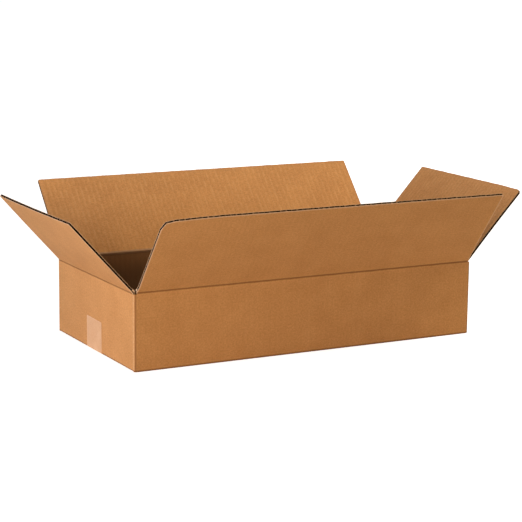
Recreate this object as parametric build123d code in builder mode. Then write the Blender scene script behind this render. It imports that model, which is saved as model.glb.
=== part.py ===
from build123d import *
import os
from math import asin, atan, cos, degrees, floor, radians, sin

# A shallow corrugated carton, erected, taped along its bottom, with its four top flaps turned out.
# Sizes are in millimetres. The carton stands on z = 0 with its length along X and its front at -Y,
# and the origin is the middle of its bottom.

# The carton as it is folded
length = 516.0              # outside, along X
width = 262.0               # outside, along Y
end_crease_height = 103.25  # height of the creases that the two end flaps turn on
crease_step = 1.5           # how much higher the two long flaps are creased
flap_depth = 130.0          # every flap, from its crease to its free edge

# The single-wall board
board = 4.0                 # liner to liner
liner = 0.35                # each facing
medium = 0.3                # the fluted sheet between them
flute_pitch = 7.9
open_flute = 8.0            # how far the open flutes are followed in from a free edge
side_groove = 2.0           # depth of the half flute that a cut along the flutes leaves open

# Folds, slots and the gaps between layers
corner_fold = 2.5           # outside radius of the four upright folds
inner_fold = 0.6            # inside radius of the same folds
bottom_fold = 2.0           # outside radius of the long walls' creases along the bottom
slot_past_fold = 0.5        # how far a long flap's side edge stays past the upright fold
flap_to_wall = 0.5          # an end flap passes this far inside a long wall
running_gap = 0.3           # left between two pieces that move past each other
ply_gap = 0.3               # between the layers of the bottom
seam_gap = 1.5              # between the two long bottom flaps, under the tape
wall_foot = 0.8             # height of the corners and of the end walls' lower edge
hem_fold = 1.2              # outside radius of that lower edge

# The glue tab inside the back right corner
tab_width = 35.0
tab_taper = 9.0             # how much its free edge is shorter at each end
tab_clear = 1.0             # left above the bottom flap and below the closed end flap
seam_cut = 0.4              # width and depth of the line where the cut edge shows outside

# The packing tape
tape_width = 50.0
tape_thickness = 0.2
tape_rise = 44.5            # how far it climbs each end wall
tape_offset = 2.0           # laid by hand, a little towards the back
tape_bend = 1.05            # height at which it turns in under the end walls

# How far each top flap leans out from upright as it stands, in degrees
front_angle = 36.6
back_angle = 41.9
left_angle = 42.1
right_angle = 43.5

# Worn free corners: how much is gone down the side edge and in along the free edge
front_wear_down = 15.0
front_wear_in = 18.0
front_wear_corner_down = 2.8
front_wear_corner_in = 4.4
right_wear_down = 4.5
right_wear_in = 4.0

# Worked out from the sizes above
up = Vector(0, 0, 1)
long_crease_height = end_crease_height + crease_step
long_inset = corner_fold + slot_past_fold
end_inset = board + flap_to_wall
long_span = length - 2 * long_inset
end_span = width - 2 * end_inset
crease_gap = running_gap / sin(radians(45))
long_rise = board - crease_step + running_gap
end_bottom = board + ply_gap
slot_floor = end_crease_height - running_gap
front_wear = [(front_wear_down, 0), (front_wear_corner_down, front_wear_corner_in), (0, front_wear_in)]
right_wear = [(right_wear_down, 0), (0, right_wear_in)]

# One flute's two open sides, seen on a cut across the flutes
flute_height = board - 2 * liner
flute_slope = atan(flute_height / (flute_pitch / 2))
void_half = flute_pitch / 2 - medium / 2 / sin(flute_slope)
void_tip = medium / 2 / cos(flute_slope)


def open_flutes(span):
    """The voids between liners and fluted sheet across a cut edge, with its outer face on y = 0."""
    count = floor((span - 2 * side_groove - 2 * medium) / flute_pitch)
    inner = board - liner
    with BuildSketch() as voids:
        with GridLocations(flute_pitch, 1, count, 1):
            Polygon((-void_half, inner), (void_half, inner), (0, liner + void_tip), align=None)
        with GridLocations(flute_pitch, 1, count - 1, 1):
            Polygon((-void_half, liner), (void_half, liner), (0, inner - void_tip), align=None)
    return voids.sketch


def half_flutes(span):
    """The half flute along each side edge of a flap, seen on the same cut edge."""
    with BuildSketch() as grooves:
        with BuildLine():
            Polyline(
                (span / 2, liner + medium),
                (span / 2, board - liner - medium),
                (span / 2 - side_groove, board / 2),
                close=True,
            )
        make_face()
        mirror(about=Plane.YZ)
    return grooves.sketch


def top_flap(label, outward, reach, span, crease_height, angle, wear):
    """One top flap: crushed to its outer liner at the crease, leaning out, with open flutes."""
    along = outward * sin(radians(angle)) + up * cos(radians(angle))
    across = outward.cross(up)
    inner_side = up * sin(radians(angle)) - outward * cos(radians(angle))
    crease = outward * reach + up * crease_height
    face_plane = Plane(origin=crease, x_dir=across, z_dir=inner_side)
    section_plane = Plane(origin=crease, x_dir=along, z_dir=across)
    free_edge_plane = Plane(origin=crease + along * flap_depth, x_dir=across * -1, z_dir=along)

    with BuildPart() as flap:
        with BuildSketch(section_plane):
            Polygon((0, 0), (flap_depth, 0), (flap_depth, board), (board, board), align=None)
        extrude(amount=span / 2, both=True)
        with BuildSketch(free_edge_plane):
            add(open_flutes(span))
        extrude(amount=-open_flute, mode=Mode.SUBTRACT)
        with BuildSketch(free_edge_plane):
            add(half_flutes(span))
        extrude(amount=-flap_depth, mode=Mode.SUBTRACT)
        if wear:
            with BuildSketch(face_plane):
                with BuildLine():
                    corner = (span / 2, flap_depth)
                    outline = [(corner[0] - inward, corner[1] - down) for down, inward in wear]
                    Polyline(corner, *outline, close=True)
                make_face()
            extrude(amount=board, mode=Mode.SUBTRACT)
    flap.part.label = label
    return flap.part


def wall_and_bottom_flap(plane, reach, foot, top, span, flap_end, fold, hem=None):
    """A wall with the bottom flap that is creased to it, from its section, standing at -reach.

    The hem is a lower edge that hangs below the flap: its height, and where it ends inwards.
    """
    tip = top - crease_gap
    low, hem_end = hem or (foot, None)
    section = [
        (-reach, low + fold),
        (-reach, tip),
        (-reach + board, tip - board),
        (-reach + board, foot + board),
        (-flap_end, foot + board),
        (-flap_end, foot),
    ]
    if hem:
        section += [(-hem_end, foot), (-hem_end, low)]
    section.append((-reach + fold, low))
    with BuildPart() as folded:
        with BuildSketch(plane):
            with BuildLine():
                Polyline(*section)
                RadiusArc((-reach + fold, low), (-reach, low + fold), fold)
            make_face()
        extrude(amount=span / 2, both=True)
    return folded.part


# The folded sheet: walls, bottom flaps and glue tab in one piece
front_and_bottom = wall_and_bottom_flap(
    Plane.YZ, width / 2, 0, long_crease_height, long_span, seam_gap / 2, bottom_fold
)
left_and_bottom = wall_and_bottom_flap(
    Plane.XZ,
    length / 2,
    end_bottom,
    end_crease_height,
    end_span + 2 * running_gap,
    length / 2 - flap_depth,
    hem_fold,
    hem=(wall_foot, long_span / 2 + running_gap),
)

with BuildPart() as carton_body:
    add(front_and_bottom)
    add(front_and_bottom.mirror(Plane.XZ))
    add(left_and_bottom)
    add(left_and_bottom.mirror(Plane.YZ))

    # The upright folds at the four corners, between the slots
    with BuildSketch(Plane.XY.offset(wall_foot)):
        RectangleRounded(length, width, corner_fold)
        RectangleRounded(length - 2 * board, width - 2 * board, inner_fold, mode=Mode.SUBTRACT)
        Rectangle(length - 2 * board, width, mode=Mode.SUBTRACT)
        Rectangle(length, end_span + 2 * running_gap, mode=Mode.SUBTRACT)
    extrude(amount=slot_floor - wall_foot)

    # The glue tab, folded off the right end wall and glued inside the back wall
    tab_foot = end_bottom + board + tab_clear
    tab_top = end_crease_height - board - crease_gap - tab_clear
    with BuildSketch(Plane.XZ.offset(-width / 2 + board)):
        with Locations((length / 2 - board, 0)):
            Polygon(
                (0, tab_foot),
                (0, tab_top),
                (-tab_width, tab_top - tab_taper),
                (-tab_width, tab_foot + tab_taper),
                align=None,
            )
    extrude(amount=board)
    with BuildSketch(Plane.XY):
        with Locations((length / 2, width / 2 - board)):
            Rectangle(2 * seam_cut, seam_cut)
    extrude(amount=slot_floor, mode=Mode.SUBTRACT)

    # Open flutes along the free edges of the two end flaps of the bottom
    inner_edge = length / 2 - flap_depth
    for side in (-1, 1):
        edge_plane = Plane(origin=(side * inner_edge, 0, end_bottom), x_dir=(0, -side, 0), z_dir=(-side, 0, 0))
        with BuildSketch(edge_plane):
            add(open_flutes(end_span))
        extrude(amount=-open_flute, mode=Mode.SUBTRACT)

    # The half flutes on the side edges of the long bottom flaps, under the end walls
    for side in (-1, 1):
        with BuildSketch(Plane(origin=(0, side * seam_gap / 2, 0), x_dir=(side, 0, 0), z_dir=(0, -side, 0))):
            add(half_flutes(long_span))
        extrude(amount=-(width / 2 - seam_gap / 2 - board), mode=Mode.SUBTRACT)

    # The tape is pressed flush into the bottom
    with BuildSketch(Plane.XY):
        with Locations((0, tape_offset)):
            Rectangle(long_span, tape_width)
    extrude(amount=tape_thickness, mode=Mode.SUBTRACT)
carton_body.part.label = "carton_body"

# The packing tape: up the left end, along the bottom seam and up the right end
with BuildPart() as bottom_tape:
    with BuildSketch(Plane.XZ.offset(-tape_offset)):
        with BuildLine():
            Polyline(
                (-length / 2, tape_rise),
                (-length / 2, tape_bend),
                (-long_span / 2, tape_thickness),
                (long_span / 2, tape_thickness),
                (length / 2, tape_bend),
                (length / 2, tape_rise),
            )
            offset(amount=tape_thickness, kind=Kind.INTERSECTION, side=Side.RIGHT)
        make_face()
    extrude(amount=tape_width / 2, both=True)
bottom_tape.part.label = "bottom_tape"

# The four top flaps, each on its own crease
front, back = Vector(0, -1, 0), Vector(0, 1, 0)
left, right = Vector(-1, 0, 0), Vector(1, 0, 0)
flaps = [
    top_flap("front_flap", front, width / 2, long_span, long_crease_height, front_angle, front_wear),
    top_flap("back_flap", back, width / 2, long_span, long_crease_height, back_angle, None),
    top_flap("left_flap", left, length / 2, end_span, end_crease_height, left_angle, None),
    top_flap("right_flap", right, length / 2, end_span, end_crease_height, right_angle, right_wear),
]

# The hinge lines: an end flap turns on its outer crease. A long flap turns on a line straight above
# it, so that it rises over the end flaps as it closes.
for label, angle in (("front_flap", front_angle), ("back_flap", back_angle)):
    hinge_height = long_crease_height + long_rise / (1 + sin(radians(angle)))
    print(f"{label}: hinge at y {width / 2:.3f} from the middle, z {hinge_height:.3f}")
for label in ("left_flap", "right_flap"):
    print(f"{label}: hinge at x {length / 2:.3f} from the middle, z {end_crease_height:.3f}")

os.makedirs("parts", exist_ok=True)
for piece in (carton_body.part, bottom_tape.part, *flaps):
    export_step(piece, f"parts/{piece.label}.step")
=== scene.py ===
"""Looks of a shallow corrugated carton that stands taped below, with its four top flaps turned out.

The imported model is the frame. The board is modelled as what it is, two liners with a fluted sheet
between them, so cut edges show real flutes. Sizes are in millimetres until a mesh is made, and every
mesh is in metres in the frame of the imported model.
"""

import logging
import math
from dataclasses import dataclass, field
from enum import Enum

import bpy
import numpy as np
from mathutils import Matrix, Vector


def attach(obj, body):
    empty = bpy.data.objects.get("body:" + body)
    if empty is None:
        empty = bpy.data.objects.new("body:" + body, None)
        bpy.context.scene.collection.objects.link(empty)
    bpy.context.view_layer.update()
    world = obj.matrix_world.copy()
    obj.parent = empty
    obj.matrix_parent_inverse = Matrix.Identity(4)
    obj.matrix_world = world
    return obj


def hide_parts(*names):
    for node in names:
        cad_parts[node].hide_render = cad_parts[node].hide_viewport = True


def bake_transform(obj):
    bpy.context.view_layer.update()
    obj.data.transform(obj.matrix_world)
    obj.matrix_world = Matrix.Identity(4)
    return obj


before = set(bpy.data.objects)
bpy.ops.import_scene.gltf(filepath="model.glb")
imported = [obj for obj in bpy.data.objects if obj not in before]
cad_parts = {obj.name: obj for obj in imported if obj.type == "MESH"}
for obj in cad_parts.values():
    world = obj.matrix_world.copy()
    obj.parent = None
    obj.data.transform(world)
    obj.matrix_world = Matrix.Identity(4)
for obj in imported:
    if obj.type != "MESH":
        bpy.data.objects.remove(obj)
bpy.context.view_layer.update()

log = logging.getLogger("carton")

MM = 0.001
UP = np.array([0.0, 0.0, 1.0])
TOUCH = 1e-6   # two places closer than this are the same
FAR = 50.0     # stands for no fold or cut edge near
LEVELS = 6
MEDIUM = (2, 3)            # the two levels of the fluted sheet
VOIDS = ((1, 2), (3, 4))   # the levels below and above each void
LEVEL_STEP = 2.0           # what one level counts in the attribute that the materials read

Array = np.ndarray
Object = bpy.types.Object
Material = bpy.types.Material
NodeTree = bpy.types.NodeTree
Node = bpy.types.Node
Socket = bpy.types.NodeSocket
Pair = tuple[float, float]
Triple = tuple[float, float, float]
Colour = Triple


class Side(Enum):
    """The four walls, in the order in which the sheet goes round the carton from its glued seam."""

    BACK = (0.0, 1.0)
    LEFT = (-1.0, 0.0)
    FRONT = (0.0, -1.0)
    RIGHT = (1.0, 0.0)

    @property
    def outward(self) -> Array:
        """Direction in which the wall faces."""
        return np.array([*self.value, 0.0])

    @property
    def across(self) -> Array:
        """Direction along the wall in which the flat sheet's length is counted."""
        return np.cross(UP, self.outward)

    @property
    def is_long(self) -> bool:
        """Whether this is the front or the back."""
        return self in (Side.FRONT, Side.BACK)

    def spot(self, out: Array | float, along: Array | float, height: Array | float) -> Array:
        """Places that lie so far out of the carton's middle, along the wall and up."""
        out, along, height = np.broadcast_arrays(out, along, height)
        return self.outward * out[..., None] + self.across * along[..., None] + UP * height[..., None]


class Face(Enum):
    """The surfaces of the board that are finished differently."""

    OUTSIDE = 0
    INSIDE = 1
    CUT = 2


def smooth(value: Array | float, low: float, high: float) -> Array:
    """Rises smoothly from 0 where the value is low to 1 where it is high."""
    t = np.clip((np.asarray(value, float) - low) / (high - low), 0.0, 1.0)
    return t * t * (3.0 - 2.0 * t)


def wander(value: Array, seed: int, length: float) -> Array:
    """A smooth, repeatable wandering between about -1 and 1.

    Args:
        value: Where to evaluate it.
        seed: Which wandering.
        length: Rough distance from one crest to the next.

    Returns:
        The wandering at each value.
    """
    random = np.random.default_rng(seed)
    total = np.zeros_like(np.asarray(value, float))
    for scale in (0.6, 1.0, 1.7, 2.9):
        phase = random.uniform(0.0, 2.0 * math.pi)
        total += np.sin(2.0 * math.pi * value * scale / length + phase) / scale
    return total / 2.0


@dataclass(frozen=True)
class BoardSheet:
    """Single-wall corrugated board. Its levels run from the outer face to the inner one."""

    thickness: float = 4.0
    liner: float = 0.4
    medium: float = 0.34
    pitch: float = 7.9
    flattening: float = 1.08
    outside_sag: float = 0.05
    inside_sag: float = 0.13
    closed: float = 0.03
    apart: float = 0.2
    groove_share: float = 0.45
    stations: tuple[float, ...] = (0.0, 0.1, 0.195, 0.305, 0.4, 0.5, 0.6, 0.695, 0.805, 0.9)

    def levels(self, u: Array, laid: Array | float = 0.0) -> Array:
        """Depths of the six levels: outer liner, void, fluted sheet, void and inner liner between them.

        Args:
            u: Places across the flutes on the flat sheet.
            laid: How far the fluted sheet lies down on the outer liner, as it does beside a side cut.

        Returns:
            One row of six depths for each place.
        """
        swing = np.sin(2.0 * math.pi * u / self.pitch) * (1.0 - laid) - laid
        reach = self.thickness / 2.0 - self.liner - self.medium / 2.0
        middle = self.thickness / 2.0 + reach * np.clip(self.flattening * swing, -1.0, 1.0)
        outer = self.outside_sag * (1.0 + swing) / 2.0
        inner = self.thickness - self.inside_sag * (1.0 - swing) / 2.0
        below = outer + self.liner
        above = inner - self.liner
        under = np.maximum(middle - self.medium / 2.0, below)
        over = np.minimum(middle + self.medium / 2.0, above)
        under = np.where(under - below < self.closed, below, under)
        over = np.where(above - over < self.closed, above, over)
        return np.stack([outer, below, under, over, above, inner], axis=-1)

    def columns(self, start: float, end: float, marks: list[float]) -> Array:
        """Stations across the flutes that follow their wave and keep every mark.

        Args:
            start: First place.
            end: Last place.
            marks: Places in between that need a station of their own.

        Returns:
            The stations in order.
        """
        first, last = math.floor(start / self.pitch), math.ceil(end / self.pitch)
        waves = np.arange(first, last + 1)[:, None] + np.array(self.stations)[None, :]
        waves = waves.ravel() * self.pitch
        kept = np.array(sorted({round(mark, 6) for mark in (start, end, *marks)}))
        clear = np.abs(waves[:, None] - kept[None, :]).min(axis=1) > self.apart
        inside = (waves > start) & (waves < end)
        return np.sort(np.concatenate([waves[clear & inside], kept]))

    def groove(self, beside: Array) -> Array:
        """Cells in the flute that a cut along it lays open, from the stations' distance to the cut."""
        close = (beside >= -TOUCH) & (beside <= self.pitch * self.groove_share)
        return close[:-1] & close[1:]


@dataclass
class SheetMesh:
    """A sheet of board as rows and columns of stations, each with six levels.

    Cells that aren't present are slots or air. In the open cells the voids beside the fluted sheet
    are real, so the surface runs into them.
    """

    outer: Array
    inner: Array
    depths: Array
    blank: Array
    fold: Array
    edge: Array
    present: Array
    open_cells: Array
    shift: Array | None = None

    def points(self) -> Array:
        """Places the six levels of every station.

        Returns:
            Their places by row, column and level.
        """
        share = (self.depths / BOARD.thickness)[None, :, :, None]
        placed = self.outer[:, :, None, :] + (self.inner - self.outer)[:, :, None, :] * share
        return placed if self.shift is None else placed + self.shift

    def pinched(self, below: int, above: int) -> Array:
        """Stations where two levels meet."""
        return self.depths[:, above] - self.depths[:, below] < TOUCH

    def voids(self) -> list[Array]:
        """Finds the cells whose voids are open.

        Returns:
            A mask of the cells for the lower void, and one for the upper void.
        """
        found = []
        for below, above in VOIDS:
            pinched = self.pinched(below, above)
            hollow = ~(pinched[:-1] & pinched[1:])
            touching = pinched[1:-1] & hollow[:-1] & hollow[1:]
            hollow[1:][touching] = False
            found.append(self.open_cells & hollow[None, :] & self.present)
        return found

    def faces(self) -> tuple[Array, Array]:
        """The faces between solid board and air.

        Returns:
            Four vertex numbers for each face, and its finish.
        """
        rows, columns = self.outer.shape[:2]
        ids = np.arange(rows * columns * LEVELS).reshape(rows, columns, LEVELS)
        for below, above in VOIDS:
            pinched = self.pinched(below, above)
            ids[:, pinched, above] = ids[:, pinched, below]
        lower, upper = self.voids()
        solid = np.zeros((rows + 1, columns + 1, LEVELS + 1), bool)
        solid[1:-1, 1:-1, 1:-1] = self.present[..., None]
        solid[1:-1, 1:-1, 2] &= ~lower
        solid[1:-1, 1:-1, 4] &= ~upper

        quads, finishes = [], []

        def keep(corners: list[Array], before: Array, after: Array, finish: Face) -> None:
            """Keeps the faces where board meets air, turned to face the air.

            Args:
                corners: The four corner numbers of each possible face.
                before: Whether the side that the face looks away from is board.
                after: Whether the side that it looks towards is board.
                finish: The finish of these faces.
            """
            stacked = np.stack(corners, axis=-1)
            ahead, behind = stacked[before & ~after], stacked[after & ~before][:, ::-1]
            quads.extend([ahead, behind])
            finishes.append(np.full(len(ahead) + len(behind), finish.value))

        for level in range(LEVELS):
            at = ids[:, :, level]
            finish = {0: Face.OUTSIDE, LEVELS - 1: Face.INSIDE}.get(level, Face.CUT)
            corners = [at[:-1, :-1], at[:-1, 1:], at[1:, 1:], at[1:, :-1]]
            keep(corners, solid[1:-1, 1:-1, level], solid[1:-1, 1:-1, level + 1], finish)
        for layer in range(LEVELS - 1):
            low, high, board = ids[:, :, layer], ids[:, :, layer + 1], solid[:, :, layer + 1]
            corners = [low[:-1], low[1:], high[1:], high[:-1]]
            keep(corners, board[1:-1, :-1], board[1:-1, 1:], Face.CUT)
            corners = [low[:, :-1], high[:, :-1], high[:, 1:], low[:, 1:]]
            keep(corners, board[:-1, 1:-1], board[1:, 1:-1], Face.CUT)
        return np.concatenate(quads), np.concatenate(finishes)

    def is_left_handed(self) -> bool:
        """Compares the sheet's directions with x, y and z.

        Returns:
            Whether columns, rows and depth turn the other way.
        """
        row, column = self.outer.shape[0] // 2, self.outer.shape[1] // 2
        here = self.outer[row, column]
        along = self.outer[row, column + 1] - here
        down = self.outer[row + 1, column] - here
        return float(np.dot(np.cross(along, down), self.inner[row, column] - here)) < 0.0


def new_piece(
    name: str, spots: Array, polygons: list, measures: dict[str, Array], sharp_from: float
) -> Object:
    """Makes an object from sizes in millimetres.

    Args:
        name: The piece's name.
        spots: Where its vertices are.
        polygons: The vertex numbers of each face.
        measures: The attributes by name, with three sizes for each vertex.
        sharp_from: Degrees between two faces from which the edge between them is sharp.

    Returns:
        The new object.
    """
    mesh = bpy.data.meshes.new(name)
    mesh.from_pydata(spots.reshape(-1, 3) * MM, [], polygons)
    for attribute_name, values in measures.items():
        attribute = mesh.attributes.new(attribute_name, "FLOAT_VECTOR", "POINT")
        attribute.data.foreach_set("vector", (values * MM).astype(np.float32).ravel())
    mesh.shade_smooth()
    mesh.set_sharp_from_angle(angle=math.radians(sharp_from))
    mesh.update()
    piece = bpy.data.objects.new(name, mesh)
    bpy.context.scene.collection.objects.link(piece)
    return piece


def mesh_from_sheets(name: str, sheets: list[SheetMesh]) -> Object:
    """Makes one object of several sheets of board.

    Args:
        name: The piece's name.
        sheets: The sheets, each of which becomes a closed surface.

    Returns:
        The new object, with its flat-sheet coordinates and marks as attributes.
    """
    spots, blanks, marks, polygons, finishes = [], [], [], [], []
    count = 0
    for sheet in sheets:
        quads, finish = sheet.faces()
        if sheet.is_left_handed():
            quads = quads[:, ::-1]
        used, numbered = np.unique(quads, return_inverse=True)
        station, level = used // LEVELS, used % LEVELS
        spots.append(sheet.points().reshape(-1, 3)[used])
        blanks.append(np.column_stack([sheet.blank.reshape(-1, 2)[station], level * LEVEL_STEP]))
        gaps = [values.ravel()[station] for values in (sheet.fold, sheet.edge)]
        marks.append(np.column_stack([*gaps, np.zeros(len(station))]))
        for quad, value in zip((numbered.reshape(quads.shape) + count).tolist(), finish.tolist()):
            corners = [v for v, before in zip(quad, quad[-1:] + quad[:-1]) if v != before]
            if len(corners) > 2:
                polygons.append(corners)
                finishes.append(value)
        count += len(used)
    measures = {"blank": np.concatenate(blanks), "marks": np.concatenate(marks)}
    piece = new_piece(name, np.concatenate(spots), polygons, measures, sharp_from=38.0)
    piece.data.polygons.foreach_set("material_index", finishes)
    return piece


@dataclass(frozen=True)
class CartonSizes:
    """The folded carton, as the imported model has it."""

    length: float = 516.0
    width: float = 262.0
    end_crease: float = 103.25
    crease_step: float = 1.5
    flap_depth: float = 130.0
    long_inset: float = 3.0
    end_inset: float = 4.5
    corner_radius: float = 2.5
    bottom_radius: float = 2.0
    inner_radius: float = 0.6
    pressed: float = 3.2
    join_drop: float = 5.0
    slot_floor: float = 102.95
    slot_width: float = 0.3
    wall_foot: float = 0.8
    hem_radius: float = 1.2
    hem_end: float = 2.7
    end_foot: float = 4.3
    long_foot: float = 0.12
    seam_gap: float = 1.5
    seam_clear: float = 0.05
    corner_reach: float = 10.0
    thins_from: float = 9.0
    thinnest_from: float = 3.5

    def reach(self, side: Side) -> float:
        """How far a wall's outer face is from the middle."""
        return (self.width if side.is_long else self.length) / 2.0

    def half(self, side: Side) -> float:
        """Half of a wall's length, to the square corner."""
        return (self.length if side.is_long else self.width) / 2.0

    def span(self, side: Side) -> float:
        """Half of the length of the flaps on a wall."""
        return self.half(side) - (self.long_inset if side.is_long else self.end_inset)

    def crease(self, side: Side) -> float:
        """Height of a top flap's crease."""
        return self.end_crease + (self.crease_step if side.is_long else 0.0)

    def foot(self, side: Side) -> float:
        """Height of the outer face of a bottom flap."""
        return self.long_foot if side.is_long else self.end_foot

    def low(self, side: Side) -> float:
        """Height of a wall's lower edge, which hangs below the flap at the two ends."""
        return self.long_foot if side.is_long else self.wall_foot

    def fold_radius(self, side: Side) -> float:
        """Outside radius of a wall's lower edge."""
        return self.bottom_radius if side.is_long else self.hem_radius

    def flap_end(self, side: Side) -> float:
        """How far a bottom flap reaches in from its wall's outer face."""
        return self.width / 2.0 - self.seam_gap / 2.0 if side.is_long else self.flap_depth

    @property
    def arc(self) -> float:
        """Length of the sheet round an upright fold."""
        return self.corner_radius * math.pi / 2.0

    def middle(self, side: Side) -> float:
        """Finds the middle of a wall on the flat sheet.

        Args:
            side: Which wall.

        Returns:
            Its distance from the sheet's start.
        """
        place = self.half(Side.BACK)
        for before, after in zip(list(Side), list(Side)[1:]):
            if before is side:
                break
            place += self.half(before) + self.half(after) - 2.0 * self.corner_radius + self.arc
        return place

    def limits(self, side: Side) -> Pair:
        """First and last place of a wall's flat part, from its middle.

        Args:
            side: Which wall.

        Returns:
            The two places. The sheet starts square at the back and ends square at the right.
        """
        flat = self.half(side) - self.corner_radius
        first = -self.half(side) if side is Side.BACK else -flat
        seam = self.half(side) - BOARD.thickness - self.seam_clear
        return first, seam if side is Side.RIGHT else flat

    def fold_start(self, side: Side) -> float:
        """Where the upright fold after a wall starts along the flat sheet."""
        return self.middle(side) + self.limits(side)[1]

    def squeezed(self, side: Side, a: Array) -> tuple[Array, Array]:
        """Where the inner face lies beside the upright folds, which are pressed thinner.

        Args:
            side: Which wall.
            a: Places along the wall's outer face, from its middle.

        Returns:
            The places along the inner face, and the board's thickness there.
        """
        first, last = self.limits(side)
        half = self.half(side)
        flat, start = half - self.corner_radius, half - self.corner_reach
        inside = half - self.pressed - self.inner_radius
        moved, thick = a.astype(float).copy(), np.full(a.shape, BOARD.thickness)
        for sign, limit in ((-1.0, -first), (1.0, last)):
            if abs(limit - flat) > TOUCH:
                continue
            past = sign * a - start
            beyond = past > 0.0
            moved[beyond] = sign * (start + past[beyond] * (inside - start) / (flat - start))
            near = smooth(sign * a, half - self.thins_from, half - self.thinnest_from)
            thick -= (BOARD.thickness - self.pressed) * near
        return moved, thick


BOARD = BoardSheet()
SIZES = CartonSizes()
BLUNT_CORNER = ((1.1, 0.0), (0.3, 0.7), (0.0, 2.2))


@dataclass
class CartonShell:
    """The four walls, the four bottom flaps and the glue tab: one sheet, folded and glued."""

    name: str = "carton_shell"
    wall_rows: tuple[float, ...] = (0.0, 0.03, 0.25, 0.5, 0.75, 0.93, 1.0)
    fold_rows: tuple[float, ...] = (18.0, 36.0, 54.0, 72.0, 90.0)
    hem_rows: tuple[float, ...] = (2.3, 2.7)
    flap_rows: tuple[float, ...] = (3.6, 6.0, 9.0, 30.0, 60.0, 90.0)
    edge_rows: tuple[float, ...] = (12.0, 7.0, 3.0, 0.8, 0.0)
    arc_steps: int = 6
    lifts_from: float = 0.88
    flat_from: float = 12.0
    tab_width: float = 35.0
    tab_taper: float = 9.0
    tab_foot: float = 9.3
    tab_top: float = 97.8
    tab_rows: tuple[float, ...] = (0.0, 0.8, 3.0, 7.0)
    tab_root: float = 1.5
    tab_marks: Pair = (4.0, 8.0)
    tab_play: float = 0.02
    tab_crush: float = 1.2
    tab_crushed: Pair = (1.0, 7.0)

    def stations(self) -> Array:
        """Divides the flat sheet, from the seam round to the seam.

        Returns:
            The stations along it.
        """
        marks = []
        for side in Side:
            middle, span, (first, last) = SIZES.middle(side), SIZES.span(side), SIZES.limits(side)
            marks += [middle + first, middle + last]
            for place in (span, span + SIZES.slot_width):
                marks += [middle - place, middle + place]
            if side is not Side.RIGHT:
                steps = range(1, self.arc_steps)
                marks += [middle + last + SIZES.arc * step / self.arc_steps for step in steps]
        end = SIZES.fold_start(Side.RIGHT)
        return BOARD.columns(0.0, end, [mark for mark in marks if mark <= end])

    def ring(self) -> SheetMesh:
        """The walls and bottom flaps as one sheet.

        Returns:
            The sheet, with rows from the top of the corners down to the bottom flaps' free edges.
        """
        u = self.stations()
        wall_end = 1 + len(self.wall_rows)
        flap_start = wall_end + len(self.fold_rows) + len(self.hem_rows)
        rows = flap_start + len(self.flap_rows) + len(self.edge_rows)
        in_wall = (np.arange(rows) < wall_end)[:, None]
        outer, inner = np.zeros((2, rows, len(u), 3))
        fold, edge = np.full((2, rows, len(u)), FAR)
        blank = np.zeros((rows, len(u), 2))
        blank[:, :, 0] = u
        panel, tail = np.zeros((2, len(u)), bool)
        grooves = np.zeros(len(u) - 1, bool)

        for side, following in zip(Side, [*list(Side)[1:], None]):
            middle, span, (first, last) = SIZES.middle(side), SIZES.span(side), SIZES.limits(side)
            reach, low = SIZES.reach(side), SIZES.low(side)
            mine = (u >= middle + first - TOUCH) & (u <= middle + last + TOUCH)
            a = u[mine] - middle
            moved, thick = SIZES.squeezed(side, a)
            on_panel = np.abs(a) <= span + TOUCH
            panel[mine] = on_panel
            tail[mine] = np.abs(a) >= span + SIZES.slot_width - TOUCH
            for sign in (-1.0, 1.0):
                grooves |= BOARD.groove(span - sign * (u - middle))
            heights, outs, ins, lifts, squeezes, corners = self.profile(side)[..., None]
            upright = in_wall | ~on_panel
            height = np.where(on_panel, heights, corners)
            squeeze = np.where(on_panel, squeezes, 1.0)
            deep = np.where(upright, BOARD.thickness, ins) - squeeze * (BOARD.thickness - thick)
            lift = np.where(on_panel | in_wall, lifts, 0.0)
            outer[:, mine] = side.spot(reach - np.where(upright, 0.0, outs), a, height)
            inner[:, mine] = side.spot(reach - deep, a + squeeze * (moved - a), height + lift)
            to_crease = np.minimum(height - low, SIZES.crease(side) - height)
            fold[:, mine] = np.where(in_wall, to_crease, outs + np.abs(heights - low))
            to_end = (SIZES.flap_end(side) - outs)[wall_end:]
            edge[wall_end:, mine] = np.minimum(np.maximum(span - np.abs(a), 0.0), to_end)
            blank[:, mine, 1] = np.where(in_wall, height, SIZES.foot(side) - outs)
            if following is None:
                continue
            past = u - middle - last
            turning = (past > TOUCH) & (past < SIZES.arc - TOUCH)
            angle = past[turning, None] / SIZES.corner_radius
            facing = side.outward * np.cos(angle) + following.outward * np.sin(angle)
            tail[turning] = True
            for target, radius in ((outer, SIZES.corner_radius), (inner, SIZES.inner_radius)):
                inset = radius if target is outer else radius + SIZES.pressed
                centre = side.outward * (reach - inset) + following.outward * (SIZES.half(side) - inset)
                target[:, turning] = centre + facing * radius
            there = self.profile(following)[-1][:, None]
            between = corners + (there - corners) * past[turning] / SIZES.arc
            outer[:, turning, 2] = between
            inner[:, turning, 2] = between + np.where(in_wall, lifts, 0.0)
            fold[:, turning] = np.maximum(between - SIZES.wall_foot, 0.0)
            blank[:, turning, 1] = between

        flaps = panel[:-1] & panel[1:]
        cells = np.ones((rows - 1, len(u) - 1), bool)
        cells[0] = ~flaps
        cells[wall_end - 1 : wall_end + 1] = flaps | (tail[:-1] & tail[1:])
        cells[wall_end + 1 :] = flaps
        opened = np.zeros_like(cells)
        opened[flap_start:] = grooves
        opened[1 - len(self.edge_rows) :] = True
        return SheetMesh(outer, inner, BOARD.levels(u), blank, fold, edge, cells, opened)

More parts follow.
